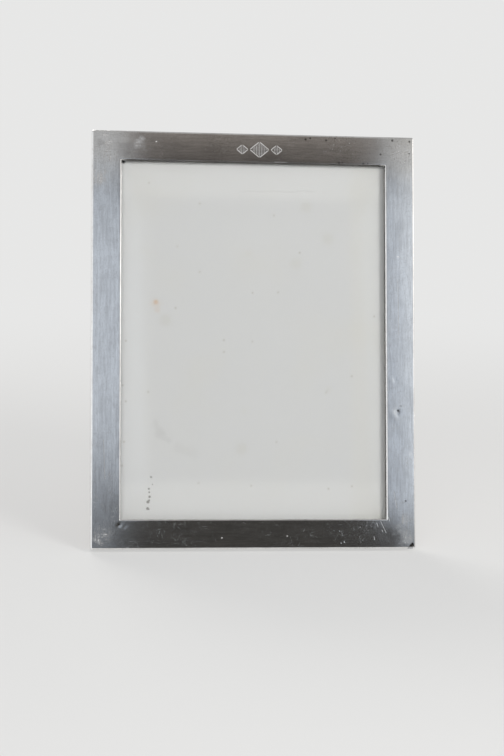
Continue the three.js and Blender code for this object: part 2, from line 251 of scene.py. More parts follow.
def set_in_place(name, mesh, home, finish, body, node):
    piece = bpy.data.objects.new(name, mesh)
    bpy.context.scene.collection.objects.link(piece)
    piece.matrix_world = home
    mesh.materials.append(finish)
    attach(piece, body)
    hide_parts(node)
    return piece


def dress(name, node, home, finish, body, arris, least_edge=0.0):
    """One piece over its CAD solid, with its large planes shaded dead flat up to the broken arrises."""
    skin = dressed_skin(name, node, home, arris, least_edge)
    piece = set_in_place(name, skin, home, finish, body, node)
    planes = piece.modifiers.new("planes", "WEIGHTED_NORMAL")
    planes.keep_sharp = True
    planes.weight = 100


core_lengths = {
    "bottom_rail": ("x", (0.004, 0.055), (0.31, 0.0, 0.12)),
    "top_rail": ("x", (0.228, -0.046), (0.05, 0.0, 0.0)),
    "left_stile": ("z", (-0.102, 0.050), (0.0, 0.0, 0.44)),
    "right_stile": ("z", (0.071, -0.060), (0.0, 0.0, 0.17)),
}
for length, (lengthwise, heart, tree_place) in core_lengths.items():
    finish = oak_finish("oak_of_" + length, lengthwise, heart, tree_place, painted_shade_depth)
    dress("oak_" + length, length, lean, finish, "framed_picture", core_arris, core_least_edge)

# Mitre pins. Steel panel pins driven across each mitre of the core to hold it while the glue sets.
# Bright drawn wire with a little rust where the oak's tannin has reached it.
PIN_STEEL = (0.36, 0.36, 0.37, 1)
PIN_RUST = (0.11, 0.05, 0.025, 1)
pin_finish, steel = new_finish("mitre_pin_steel")
on_pin = steel.node("ShaderNodeTexCoord", out="Object")
rust = on_pin.cloud(900.0, 3.0).rise(0.5, 0.7)
lay_on(steel, {
    "Base Color": rust.mix(PIN_STEEL, PIN_RUST),
    "Metallic": 1 - 0.8 * rust,
    "Roughness": 0.3 + 0.45 * rust,
    "Normal": on_pin.cloud(2600.0, 1.0).bump(0.02 * MM, 0.5),
})
for end in ("bottom", "top"):
    for hand in ("left", "right"):
        node = f"mitre_pin_{end}_{hand}"
        dress("steel_" + node, node, lean, pin_finish, "framed_picture", 0)

# Silver front. One sheet of sterling silver, pierced for the picture, its four sides turned back over the oak
# and a lip turned in round the opening. Rolled, soldered at the corners, buffed along each side, and worn by
# years of polishing: hazed corners, stray scratches, a few dents and nicks, and specks of dried polish.
gauge = 0.5 * MM
bend_radius = 0.9 * MM
lip_depth = 3.0 * MM
corner_radius = 1.1 * MM
relief_radius = 0.03 * MM
crisp = 0.04 * MM
bend_steps = 8
face_steps = 22
corner_steps = 4
across_steps = 190
upright_steps = 240

on_sheet = [lean.inverted() @ p for p in sheet_solid]
half_width = max(p.x for p in on_sheet)
face_height = max(p.z for p in on_sheet)
side_depth = max(p.y for p in on_sheet)
border = half_width - min(abs(p.x) for p in on_sheet if p.y < 1.1 * lip_depth)


def sheet_section():
    """The turned sheet's section, as (in from the outer side, back from the face), once round both skins."""
    right = [0.5 * math.pi * i / bend_steps for i in range(bend_steps + 1)]
    r, inner = bend_radius, bend_radius - gauge
    evenly = [r + (border - 2 * r) * i / face_steps for i in range(1, face_steps)]
    flat = [r + crisp] + evenly + [border - r - crisp]
    outside = [(0.0, side_depth), (0.0, 0.62 * side_depth), (0.0, 0.3 * side_depth), (0.0, r + crisp)]
    outside += [(r - r * math.cos(a), r - r * math.sin(a)) for a in right]
    outside += [(inset, 0.0) for inset in flat]
    outside += [(border - r + r * math.sin(a), r - r * math.cos(a)) for a in right]
    outside += [(border, r + crisp), (border, lip_depth)]
    inside = [(border - gauge, lip_depth)]
    inside += [(border - r + inner * math.sin(a), r - inner * math.cos(a)) for a in reversed(right)]
    inside += [(r - inner * math.cos(a), r - inner * math.sin(a)) for a in reversed(right)]
    inside += [(gauge, side_depth)]
    return outside + inside


def once_round(inset):
    """Points round the frame at one inset, from the bottom right corner up, across, down and back."""
    radius = max(corner_radius - inset, relief_radius)
    reach, low, high = half_width - inset - radius, inset + radius, face_height - inset - radius
    turns = [(reach, low, -90), (reach, high, 0), (-reach, high, 90), (-reach, low, 180)]
    points = []
    for turn, (x, z, start) in enumerate(turns):
        for i in range(corner_steps + 1):
            a = math.radians(start + 90 * i / corner_steps)
            points.append((x + radius * math.cos(a), z + radius * math.sin(a)))
        after_x, after_z, after_start = turns[(turn + 1) % 4]
        a = math.radians(after_start)
        here, there = points[-1], (after_x + radius * math.cos(a), after_z + radius * math.sin(a))
        steps = across_steps if turn % 2 else upright_steps
        for i in range(1, steps):
            points.append(tuple(h + (t - h) * i / steps for h, t in zip(here, there)))
    return points


face_dents = [
    (79.8, 75.5, 1.5, 0.046),
    (78.4, 73.0, 1.9, -0.020),
    (77.2, 92.7, 1.4, -0.014),
    (78.4, 93.6, 1.2, 0.016),
    (88.4, 52.2, 1.1, 0.020),
    (-16.4, 2.3, 1.1, 0.012),
    (-74.0, 13.4, 1.0, 0.050),
    (-71.5, 12.4, 1.0, 0.018),
]


def buffing_wave(x, z):
    """How far the buffed face lies back of flat: long shallow waves and its dents."""
    wave = 0.030 * noise.noise(Vector((x * 26, 3.7, z * 26)))
    wave += 0.010 * noise.noise(Vector((x * 75, 9.1, z * 75)))
    for dent_x, dent_z, radius, depth in face_dents:
        away = ((x / MM - dent_x) ** 2 + (z / MM - dent_z) ** 2) / radius ** 2
        if away < 9:
            wave += depth * math.exp(-away)
    return wave * MM


def silver_sheet():
    sheet = bmesh.new()
    rows = []
    for inset, depth in sheet_section():
        on_face = max(0.0, 1 - depth / lip_depth)
        row = []
        for x, z in once_round(inset):
            sway = 0.05 * MM * noise.noise(Vector((x * 60, depth * 90, z * 60))) * (1 - on_face)
            place = Vector((x + sway, depth + on_face * buffing_wave(x, z), z + sway))
            row.append(sheet.verts.new(place))
        rows.append(row)
    for row, after in zip(rows, rows[1:] + rows[:1]):
        for i in range(len(row)):
            j = (i + 1) % len(row)
            sheet.faces.new((row[i], row[j], after[j], after[i]))
    bmesh.ops.recalc_face_normals(sheet, faces=sheet.faces)
    return sheet


# Cuts in the sheet: round pin holes, an opened solder seam at one corner, and a small engraved row of
# hatched lozenges in the middle of the top rail, cut with a square graver.
pin_clear = 0.1 * MM
pin_sink = 1.2 * MM
graver_width = 0.46 * MM
graver_depth = 0.15 * MM
hatch_width = 0.33 * MM
hatch_pitch = 0.90 * MM
hatch_clear = 0.5 * MM
shortest_hatch = 0.3 * MM
graver_lift = 0.06
cutter_proud = 0.2 * MM
seam_split = [(85.1, -0.4), (88.9, -0.4), (88.9, 2.2), (88.2, 3.4), (87.3, 2.6), (86.3, 1.5)]
seam_ends = (-0.5 * MM, 1.6 * MM)
row_middle = Vector((2.8 * MM, 0, 220.6 * MM))
lozenges = [(-9.6, 3.2, 2.6), (0.0, 5.4, 4.4), (9.6, 3.2, 2.6)]


def graver_cut(cuts, start, end, width, depth):
    """A V-shaped cutter that stands just proud of the face between two points."""
    along = (end - start).normalized()
    side = along.cross(Vector((0, 1, 0))) * width / 2
    rise = Vector((0, -cutter_proud, 0))
    spread = side * (1 + cutter_proud / depth)
    tip = Vector((0, depth, 0))
    ends = [
        [cuts.verts.new(corner) for corner in (p + spread + rise, p - spread + rise, p + tip)]
        for p in (start, end)
    ]
    cuts.faces.new(ends[0])
    cuts.faces.new(ends[1][::-1])
    for i in range(3):
        j = (i + 1) % 3
        cuts.faces.new((ends[0][j], ends[0][i], ends[1][i], ends[1][j]))


def sheet_cuts():
    cuts = bmesh.new()
    for node in frame["nodes"]:
        if node.startswith("side_pin_"):
            head = [lean.inverted() @ v.co for v in frame["nodes"][node].data.vertices]
            low = Vector(min(p[i] for p in head) for i in range(3))
            high = Vector(max(p[i] for p in head) for i in range(3))
            middle = (low + high) / 2
            outward = Vector((math.copysign(1, middle.x), 0, 0))
            if "bottom" in node or "top" in node:
                outward = Vector((0, 0, -1 if "bottom" in node else 1))
            face = half_width if outward.x else (face_height if outward.z > 0 else 0)
            seat = middle.copy()
            seat[0 if outward.x else 2] = face if outward.x + outward.z > 0 else -face
            turn = Vector((0, 0, 1)).rotation_difference(outward).to_matrix().to_4x4()
            radius = (high.y - low.y) / 2 + pin_clear
            bmesh.ops.create_cone(
                cuts, cap_ends=True, segments=24, radius1=radius, radius2=radius, depth=2 * pin_sink,
                matrix=Matrix.Translation(seat) @ turn,
            )
    for x, half_long, half_high in lozenges:
        middle = row_middle + Vector((x * MM, 0, 0))
        tips = [
            Vector((half_long, 0, 0)), Vector((0, 0, half_high)),
            Vector((-half_long, 0, 0)), Vector((0, 0, -half_high)),
        ]
        for i in range(4):
            here, there = tips[i] * MM, tips[(i + 1) % 4] * MM
            first, last = here.lerp(there, graver_lift), here.lerp(there, 1 - graver_lift)
            graver_cut(cuts, middle + first, middle + last, graver_width, graver_depth)
        lines = int(2 * half_long * MM / hatch_pitch) - 1
        for i in range(lines):
            across = (i - (lines - 1) / 2) * hatch_pitch
            reach = (1 - abs(across) / (half_long * MM)) * half_high * MM - hatch_clear
            if reach > shortest_hatch:
                low = middle + Vector((across, 0, -reach))
                graver_cut(cuts, low, middle + Vector((across, 0, reach)), hatch_width, graver_depth)
    ends = [[cuts.verts.new((x * MM, y, z * MM)) for x, z in seam_split] for y in seam_ends]
    cuts.faces.new(ends[0])
    cuts.faces.new(ends[1])
    for i in range(len(seam_split)):
        cuts.faces.new((ends[0][i - 1], ends[0][i], ends[1][i], ends[1][i - 1]))
    bmesh.ops.recalc_face_normals(cuts, faces=cuts.faces)
    return cuts


def cut_mesh(name, sheet, cuts):
    """The sheet with its cuts taken out, as one mesh."""
    whole, tools = bpy.data.meshes.new(name), bpy.data.meshes.new(name + "_cuts")
    sheet.to_mesh(whole)
    cuts.to_mesh(tools)
    sheet.free()
    cuts.free()
    blank = bpy.data.objects.new(name + "_blank", whole)
    cutter = bpy.data.objects.new(name + "_cutter", tools)
    bpy.context.scene.collection.objects.link(blank)
    bpy.context.scene.collection.objects.link(cutter)
    cut = blank.modifiers.new("cuts", "BOOLEAN")
    cut.operation = "DIFFERENCE"
    cut.solver = "EXACT"
    cut.use_self = True
    cut.object = cutter
    shaped = bpy.data.meshes.new_from_object(blank.evaluated_get(bpy.context.evaluated_depsgraph_get()))
    bpy.data.objects.remove(blank)
    bpy.data.objects.remove(cutter)
    shaped.name = name
    shaped.shade_smooth()
    shaped.set_sharp_from_angle(angle=sharp_angle)
    return shaped


SILVER = (0.955, 0.95, 0.94, 1)
SILVER_DULL = (0.745, 0.735, 0.725, 1)
SILVER_TARNISH = (0.40, 0.36, 0.32, 1)
# Near black for pits, and for the lips' inner faces, where it is grime and painted shade together.
GRIME_AND_SHADE_BLACK = (0.045, 0.04, 0.035, 1)
DRIED_POLISH = (0.80, 0.79, 0.77, 1)
# Marks on the face, in millimetres across from its middle and up from its bottom edge. A scratch has two
# ends, a width and a weight, and the others have a place and a radius, with a depth for a dint.
scratches = [
    (70.2, 15.2, 73.4, 8.6, 0.20, 1.0),
    (68.0, 14.4, 68.9, 11.9, 0.20, 1.0),
    (77.9, 31.6, 79.5, 21.9, 0.20, 1.0),
    (74.6, 17.8, 75.4, 15.0, 0.20, 1.0),
    (70.9, 10.6, 71.5, 8.9, 0.18, 1.0),
    (66.5, 6.8, 66.9, 4.6, 0.22, 1.0),
    (-83.0, 60.0, -82.2, 38.0, 0.14, 1.0),
    (80.6, 150.0, 81.1, 118.0, 0.14, 1.0),
    (-23.4, 10.5, -23.0, 4.2, 0.20, 0.3),
    (-22.0, 6.0, -21.0, 3.0, 0.20, 0.4),
    (-33.0, 4.4, -26.5, 3.9, 0.25, 0.3),
    (-25.6, 2.6, -26.0, 0.9, 0.25, 0.3),
    (11.0, 213.8, 18.8, 213.7, 0.45, 1.0),
]
hazes = [
    (-81.0, 226.0, 9.0),
    (-79.5, 217.0, 7.5),
    (-86.0, 204.0, 6.5),
    (-64.0, 222.5, 4.6),
    (84.0, 221.0, 9.0),
    (-83.5, 7.0, 8.0),
    (15.0, 213.9, 3.0),
    (85.6, 6.0, 6.0),
    (80.5, 10.5, 4.5),
    (85.5, 16.0, 5.0),
]
wipes = [
    (-85.5, 222.3, 3.4),
    (-72.5, 219.0, 5.0),
    (77.5, 8.0, 4.5),
]
stippling = [
    (83.0, 221.0, 12.0),
    (48.0, 223.0, 14.0),
    (-20.0, 222.5, 12.0),
    (-84.0, 214.0, 12.0),
    (-80.0, 5.0, 13.0),
    (62.0, 7.0, 14.0),
]
pits = [
    (28.7, 227.0, 0.9),
    (31.3, 227.7, 0.7),
    (40.3, 226.7, 0.8),
    (45.4, 228.0, 0.6),
    (77.8, 227.6, 1.0),
    (87.6, 227.2, 0.9),
    (87.4, 220.4, 0.6),
    (71.0, 219.6, 0.8),
    (84.4, 26.2, 0.7),
    (-74.3, 13.6, 0.6),
    (80.2, 76.3, 0.9),
    (82.0, 78.9, 0.5),
    (47.5, 214.2, 0.8),
    (49.5, 214.4, 0.5),
    (61.2, 214.1, 0.8),
    (63.6, 214.3, 0.5),
]
dints = [
    (50.2, 3.9, 0.8, 8.0),
    (48.3, 3.2, 0.6, 7.0),
    (67.0, 5.4, 0.7, 4.0),
    (25.6, 1.8, 1.3, 6.0),
    (44.4, 10.2, 0.7, 3.0),
    (47.4, 9.9, 0.6, 3.0),
]

hair_turns = (8, -38, 62, 97)
hair_along = 170
hair_deep = 300
hair_across = 1900
buff_along = 58
buff_across = 900
patch_along = 46
patch_wide = 150
polish_spacing = 9 * MM
polish_radius = 0.7 * MM
polish_share = 0.08
silver_relief_height = 0.004 * MM

silver_finish, silver = new_finish("worn_sterling_silver")
on_silver = silver.node("ShaderNodeTexCoord", out="Object")
silver_x, silver_y, silver_z = on_silver.axes()
flat_place = silver.node("ShaderNodeCombineXYZ", {}, {"X": silver_x, "Z": silver_z})


def spot(place, x, z, radius):
    """1 at a point of the face, and 0 beyond radius; all in millimetres."""
    away = place.node(
        "ShaderNodeVectorMath", {"operation": "DISTANCE"}, {0: place, 1: (x * MM, 0, z * MM)}, "Value"
    )
    return away.rise(radius * MM, 0.25 * radius * MM)


def stroke(place, x0, z0, x1, z1, width):
    """1 along a line on the face, and 0 beyond its width and ends; all in millimetres."""
    long = math.hypot(x1 - x0, z1 - z0)
    along = ((x1 - x0) / long, 0, (z1 - z0) / long)
    from_start = place.shift(-x0 * MM, 0, -z0 * MM)
    run = from_start.reach_along(along)
    off = from_start.reach_along((-along[2], 0, along[0]))
    kept = run.rise(-0.3 * MM, 0.6 * MM) * run.rise((long + 0.3) * MM, (long - 0.6) * MM)
    return kept * abs(off).rise(width * MM, 0.3 * width * MM)


def strongest(marks):
    found = marks[0]
    for mark in marks[1:]:
        found = found.most(mark)
    return found


def hairlines(turn, layer):
    """Stray scratches of a few millimetres that all run one way, turned from level by so many degrees."""
    level, rising = math.cos(math.radians(turn)), math.sin(math.radians(turn))
    strewn = silver.node("ShaderNodeCombineXYZ", {}, {
        "X": hair_along * (level * silver_x + rising * silver_z),
        "Y": hair_deep * silver_y + layer,
        "Z": hair_across * (level * silver_z - rising * silver_x),
    })
    return strewn.cloud(1.0, 1.0).rise(0.64, 0.74)


def strewn_specks(across, up, spacing, radius, share):
    """Round specks strewn over a face: at most one to each patch of spacing, and only in a share of them."""
    flat = across.node("ShaderNodeCombineXYZ", {}, {"X": across, "Y": up})
    away = flat.node(
        "ShaderNodeTexVoronoi",
        {"voronoi_dimensions": "2D"},
        {"Vector": flat, "Scale": 1 / spacing},
        "Distance",
    )
    drawn = Tone(flat.tree, away.socket.node.outputs["Color"]).axes()[0]
    return (spacing * away).rise(radius, 0.25 * radius) * drawn.rise(1 - share, 1.02 - share)


in_from_side = half_width - abs(silver_x)
in_from_end = silver_z.least(face_height - silver_z)
in_from_edge = in_from_side.least(in_from_end)
stirred = on_silver.stirred(70.0, 7 * MM)
clouds = stirred.cloud(70.0, 4.0, 0.62)
mottle = stirred.cloud(240.0, 3.0, 0.6)
speckle = on_silver.cloud(1500.0, 2.0, 0.7)
pricked = on_silver.cloud(1150.0, 2.0, 0.6).rise(0.60, 0.72) * (0.25 + 0.75 * clouds.rise(0.42, 0.60))
near_corner = (in_from_side.most(in_from_end) + 14 * MM * clouds).rise(40 * MM, 20 * MM)
upright = (in_from_end - in_from_side + 16 * MM * (clouds - 0.5)).rise(-5 * MM, 5 * MM)
wandering = on_silver.stirred(160.0, 0.9 * MM)
buffed_up = wandering.stretch(buff_across, buff_across, buff_along).cloud(1.0, 4.0, 0.68)
buffed_across = wandering.stretch(buff_along, buff_across, buff_across).cloud(1.0, 4.0, 0.68)
buffed = upright * buffed_up + (1 - upright) * buffed_across
patch_up = stirred.stretch(patch_wide, patch_wide, patch_along).cloud(1.0, 3.0, 0.55)
patch_across = stirred.stretch(patch_along, patch_wide, patch_wide).cloud(1.0, 3.0, 0.55)
patch = upright * patch_up + (1 - upright) * patch_across
streak = buffed.rise(0.36, 0.66) * (1 - 0.6 * near_corner)
rubbed_place = flat_place.stirred(150.0, 7 * MM)
haze = strongest([spot(rubbed_place, *h) for h in hazes])
haze = haze * mottle.rise(0.28, 0.66) * (0.25 + 0.85 * buffed.rise(0.40, 0.60))
stray = strongest([hairlines(turn, 7 * i) for i, turn in enumerate(hair_turns)])
lower_down = silver_z.rise(0.6 * face_height, 0.1 * face_height)
stray = stray * clouds.rise(0.40, 0.62) * (0.25 + 0.45 * lower_down)
wiped = strongest([spot(rubbed_place, *w) for w in wipes])
stippled = strongest([spot(flat_place.stirred(60.0, 8 * MM), *s) for s in stippling])
scored = strongest([weight * stroke(flat_place, *run) for *run, weight in scratches])
pitted = strongest([spot(flat_place, *p) for p in pits])
on_front = silver_y.rise(1.0 * MM, 0.5 * MM)
chalked = strewn_specks(silver_x, silver_z, polish_spacing, polish_radius, polish_share) * on_front
chalked = (0.42 * chalked).most(0.11 * haze)
dinted = strongest([depth * spot(flat_place, x, z, radius) for x, z, radius, depth in dints])
# The lips' inner faces are painted dark, as grime and painted shade together: most under the top lip and on the
# right lip's inner face, where shade falls.
top_lip = (1 - upright) * silver_z.rise(0.5 * face_height, 0.6 * face_height)
in_lip = top_lip * silver_y.rise(0.02 * MM, 0.08 * MM) + (1 - top_lip) * silver_y.rise(0.62 * MM, 0.92 * MM)
in_lip = in_lip * in_from_edge.rise(border - 1.2 * MM, border - 0.5 * MM)
grime_and_shade_on_lip = in_lip * (0.3 + 0.7 * top_lip.most(upright * silver_x.rise(0, 20 * MM)))
dulled = 0.66 * streak + 0.34 * patch.rise(0.36, 0.64) + 0.22 * mottle.rise(0.42, 0.66) + 0.7 * wiped
tarnished = (0.26 + 0.45 * stippled) * speckle.rise(0.50, 0.66)
silver_colour = tarnished.mix(dulled.mix(SILVER, SILVER_DULL), SILVER_TARNISH)
silver_colour = chalked.mix(silver_colour, DRIED_POLISH)
silver_colour = (0.9 * grime_and_shade_on_lip).most(0.8 * pitted).mix(silver_colour, GRIME_AND_SHADE_BLACK)
silver_relief = 0.5 * buffed + 0.3 * speckle + 1.6 * patch + 0.8 * mottle
silver_relief = silver_relief - 1.2 * scored - 1.0 * pitted - dinted - 0.4 * stray
worn = 0.045 + 0.035 * buffed + 0.03 * mottle + 0.18 * haze + 0.22 * scored + 0.35 * grime_and_shade_on_lip
worn = worn + 0.22 * pricked * (0.3 + stippled) + 0.20 * stray
lay_on(silver, {
    "Base Color": silver_colour,
    "Metallic": 1 - chalked,
    "Roughness": worn,
    "Normal": silver_relief.bump(silver_relief_height, 1.0),
})
front_mesh = cut_mesh("silver_sheet", silver_sheet(), sheet_cuts())
set_in_place("silver_sheet", front_mesh, lean, silver_finish, "framed_picture", "silver_front")

# Side pins. Small silver pins, three in each side and two in the top and bottom, driven into the oak through
# holes in the sheet and filed flush, so that only a fine ring shows round each head.
pin_arris = 0.08 * MM
pin_least_edge = 0.2 * MM
for node in sorted(frame["nodes"]):
    if node.startswith("side_pin_"):
        dress(
            "silver_" + node, node, lean, silver_finish, "framed_picture", pin_arris, pin_least_edge
        )

# Glass. A pane of clear drawn glass, two millimetres thick, dropped into the rebate behind the lip.
# Its edges are just seamed with a stone, and a faint bloom of polish and dust is left on it.
glass_finish, pane = new_finish("clear_glass")
on_pane = pane.node("ShaderNodeTexCoord", out="Object")
bloom = on_pane.cloud(60.0, 3.0).rise(0.45, 0.8)
clear = pane.node("ShaderNodeBsdfPrincipled", {}, {
    "Base Color": (0.98, 0.985, 0.98, 1),
    "Roughness": 0.012 + 0.03 * bloom,
    "IOR": 1.5,
    "Transmission Weight": 1.0,
})
lets_light_by = pane.node("ShaderNodeBsdfTransparent", {}, {"Color": (0.955, 0.965, 0.96, 1)})
in_shadow = pane.node("ShaderNodeLightPath", out="Is Shadow Ray")
pane.node("ShaderNodeOutputMaterial", {}, {
    "Surface": pane.node("ShaderNodeMixShader", {}, {0: in_shadow, 1: clear, 2: lets_light_by}),
})
dress("glass_pane", "glass", lean, glass_finish, "framed_picture", 0.2 * MM)

# Picture card. The blank white card behind the glass: thick matt paper, a little greyer where a smaller print
# once lay on it, with foxing spots, specks of dust, a smudge, and a faint crease near the top that is only a
# line of painted shade.
CARD_WHITE = (0.814, 0.806, 0.803, 1)
CARD_GREYED = (0.756, 0.750, 0.752, 1)
CARD_YELLOWED = (0.765, 0.745, 0.69, 1)
CARD_FOXED = (0.66, 0.36, 0.12, 1)
CARD_OLIVE = (0.40, 0.35, 0.20, 1)
CARD_SPECK = (0.22, 0.21, 0.19, 1)
CARD_DUST = (0.36, 0.32, 0.25, 1)
CARD_NEAR_BLACK = (0.012, 0.011, 0.01, 1)
print_sides = (-57.3 * MM, 55.1 * MM)
print_ends = (37.0 * MM, 194.0 * MM)
print_fade = 4.0 * MM
dust_spacing = 14 * MM
dust_radius = 0.95 * MM
dust_share = 0.20
foxing = [(-54.2, 135.6, 1.9)]
fox_halos = [(-54.2, 135.0, 4.4), (-53.6, 131.3, 3.0)]
olive_spots = [
    (-49.0, 125.8, 5.0), (-3.0, 163.1, 2.6), (42.1, 88.2, 2.4), (-5.5, 76.0, 2.0), (-5.0, 55.6, 2.6),
    (-7.0, 55.0, 5.0), (24.0, 158.0, 5.0), (30.0, 190.0, 5.0), (42.0, 172.0, 5.0),
]
# A near-black spot painted on the card at its top left corner, just under the lip.
corner_black_spot = [(-72.3, 213.2, 1.7)]
specks = [
    (-56.6, 39.4, 0.8), (-55.8, 35.4, 0.5), (-57.8, 33.0, 0.8), (-57.6, 31.1, 0.7), (-57.4, 28.6, 1.0),
    (-58.3, 25.8, 1.3), (-57.7, 26.6, 0.9), (-58.5, 22.2, 1.2), (-57.9, 21.8, 0.7),
]
smudges_and_crease_shade = [
    (-54.6, 71.0, -52.4, 64.6, 2.3, 0.08),
    (-55.0, 63.4, -45.2, 58.6, 2.3, 0.08),
    (-53.0, 65.0, -49.5, 61.5, 3.6, 0.11),
    (-44.0, 56.0, -31.0, 52.0, 4.0, 0.05),
    # The crease: a line of painted shade, with no fold in the card's shape.
    (-8.3, 197.9, 34.9, 198.7, 0.7, 0.08),
]
card_finish, paper = new_finish("aged_white_card")
on_card = paper.node("ShaderNodeTexCoord", out="Object")
card_x, _, card_z = on_card.axes()
card_place = paper.node("ShaderNodeCombineXYZ", {}, {"X": card_x, "Z": card_z})
fibre = on_card.cloud(1400.0, 3.0, 0.6)
blotch = on_card.cloud(22.0, 4.0, 0.55)
past_side = (print_sides[0] - card_x).most(card_x - print_sides[1]).rise(-print_fade, print_fade)
past_end = (print_ends[0] - card_z).most(card_z - print_ends[1]).rise(-print_fade, print_fade)
card_greyed = (0.3 * past_side).most(past_end).mix(CARD_GREYED, CARD_WHITE)
yellowed = 0.25 * (card_x - print_sides[1]).rise(-print_fade, print_fade) + 0.25 * blotch.rise(0.45, 0.75)
card_ground = yellowed.mix(card_greyed, CARD_YELLOWED)
foxed = strongest([spot(card_place, *f) for f in foxing])
specked = strongest([spot(card_place, *s) for s in specks])
dusted = strewn_specks(card_x, card_z, dust_spacing, dust_radius, dust_share)
smudged_place = card_place.stirred(180.0, 3 * MM)
haloed = strongest([spot(smudged_place, *h) for h in fox_halos])
smudge_and_crease_shade = strongest([weight * stroke(smudged_place, *run) for *run, weight in smudges_and_crease_shade])
stained = strongest([spot(smudged_place, *s) for s in olive_spots])
card_stained = (0.10 * stained).mix(card_ground, CARD_OLIVE)
card_marked = (smudge_and_crease_shade + 0.03 * fibre).mix(card_stained, CARD_SPECK)
corner_blacked = strongest([spot(card_place, *g) for g in corner_black_spot])
card_dusty = (0.8 * specked).mix((0.36 * dusted).mix(card_marked, CARD_DUST), CARD_SPECK)
card_foxed = (0.34 * foxed + 0.12 * haloed).mix(card_dusty, CARD_FOXED)
lay_on(paper, {
    "Base Color": (0.96 * corner_blacked).mix(card_foxed, CARD_NEAR_BLACK),
    "Roughness": 0.72 + 0.12 * fibre,
    "Normal": (fibre + 0.6 * blotch).bump(0.02 * MM, 0.4),
})
dress("blank_card", "picture_card", lean, card_finish, "framed_picture", 0.1 * MM)

# Packing board. A sheet of strawboard that fills the rebate behind the card and presses it to the glass.
# Coarse ochre board, with straw ends and dark flecks pressed into it.
STRAW = (0.47, 0.34, 0.16, 1)
STRAW_PALE = (0.60, 0.47, 0.26, 1)
STRAW_FLECK = (0.16, 0.10, 0.045, 1)
straw_finish, straw = new_finish("pressed_strawboard")
on_straw = straw.node("ShaderNodeTexCoord", out="Object")
ends = on_straw.stretch(420, 420, 1500).cloud(1.0, 3.0, 0.6)
flecks = on_straw.cloud(900.0, 1.0).rise(0.66, 0.74)
lay_on(straw, {
    "Base Color": flecks.mix(ends.rise(0.35, 0.7).mix(STRAW, STRAW_PALE), STRAW_FLECK),
    "Roughness": 0.8 + 0.12 * ends,
    "Normal": ends.bump(0.12 * MM, 0.6),
})
dress("strawboard", "packing_board", lean, straw_finish, "framed_picture", 0.15 * MM)

# Back panel. One flat board of oak that drops into the rebate from behind, its back edges lightly chamfered.
# Cut along the grain and finished like the core.
panel_finish = oak_finish("oak_of_back_panel", "z", (0.016, 0.072), (0.0, 0.0, 0.73))
dress("oak_back_panel", "back_panel", lean, panel_finish, "framed_picture", 0.2 * MM, 4 * MM)

# Turn-buttons. Four pear-shaped brass buttons, stamped from sheet and held on the stiles by round-head
# screws. Each turns on its screw to free the panel. The lacquer has gone and the brass has browned in
# patches.
BRASS = (0.60, 0.40, 0.14, 1)
BRASS_BROWNED = (0.30, 0.185, 0.065, 1)
BRASS_DARK = (0.13, 0.085, 0.04, 1)
brass_finish, brass = new_finish("aged_brass")
on_brass = brass.node("ShaderNodeTexCoord", out="Object")
patina = on_brass.cloud(230.0, 4.0, 0.6)
rubbed = on_brass.stretch(2400, 2400, 300).cloud(1.0, 2.0)
brass_spots = on_brass.cloud(1300.0, 2.0).rise(0.62, 0.74)
browned = patina.rise(0.36, 0.68).mix(BRASS, BRASS_BROWNED)
lay_on(brass, {
    "Base Color": (0.7 * brass_spots).mix(browned, BRASS_DARK),
    "Metallic": 1 - 0.35 * brass_spots,
    "Roughness": 0.24 + 0.16 * patina + 0.12 * rubbed + 0.2 * brass_spots,
    "Normal": (rubbed + 0.5 * patina - 0.6 * brass_spots).bump(0.012 * MM, 0.8),
})
for level in ("lower", "upper"):
    for hand in ("left", "right"):
        button, screw = f"turn_button_{level}_{hand}", f"turn_screw_{level}_{hand}"
        rides_on = f"button_{level}_{hand}"
        dress("brass_" + button, button, lean, brass_finish, rides_on, 0.22 * MM, 0.3 * MM)
        dress("brass_" + screw, screw, lean, brass_finish, "framed_picture", 0)

# Strut. A tapered oak leg, narrow at the hinge and wide at the foot, cut to stand level on the table.
# Its top is bevelled like a chisel, and the bevel meets the panel to stop the leg when it is open.
swing = next(j for j in frame["joints"] if j["child"] == "strut_leg")
opened = Matrix.Rotation(math.radians(-swing["range_deg"][0]), 4, "X")
strut_home = Matrix.Translation(swing["pos_m"]) @ opened @ lean.to_3x3().to_4x4()
strut_finish = oak_finish("oak_of_strut", "z", (-0.012, 0.058), (0.0, 0.0, 1.21))
dress("oak_strut", "strut", strut_home, strut_finish, "strut_leg", 0.35 * MM, 3 * MM)

# Hinge. A small brass butt hinge: two leaves rolled round one pin, each fixed by two countersunk screws,
# one leaf to the back panel and one to the strut.
hinge_pieces = {
    "hinge_fixed_leaf": ("framed_picture", lean, 0.12 * MM),
    "hinge_pin": ("framed_picture", lean, 0.12 * MM),
    "hinge_screw_fixed_left": ("framed_picture", lean, 0),
    "hinge_screw_fixed_right": ("framed_picture", lean, 0),
    "hinge_strut_leaf": ("strut_leg", strut_home, 0.12 * MM),
    "hinge_screw_strut_left": ("strut_leg", strut_home, 0),
    "hinge_screw_strut_right": ("strut_leg", strut_home, 0),
}
for node, (body, home, arris) in hinge_pieces.items():
    dress("brass_" + node, node, home, brass_finish, body, arris, 0.6 * MM)

# Table and studio. A plain pale table top, a tall grey board bent round the front that glows though it is no lamp,
# with a dark gap painted into its glow in the middle, and three soft lamps: a strong one on the right, a weak one
# on the left and one behind.
TABLE_PALE = (0.74, 0.74, 0.73, 1)
STUDIO_PALE = (0.80, 0.80, 0.795, 1)
STUDIO_CEILING = (0.42, 0.42, 0.42, 1)
ROOM_LIGHT = (0.31, 0.31, 0.315, 1)
table_reach = 9.0
table_glow = 0.55
glow_near = 0.25
glow_far = 0.9


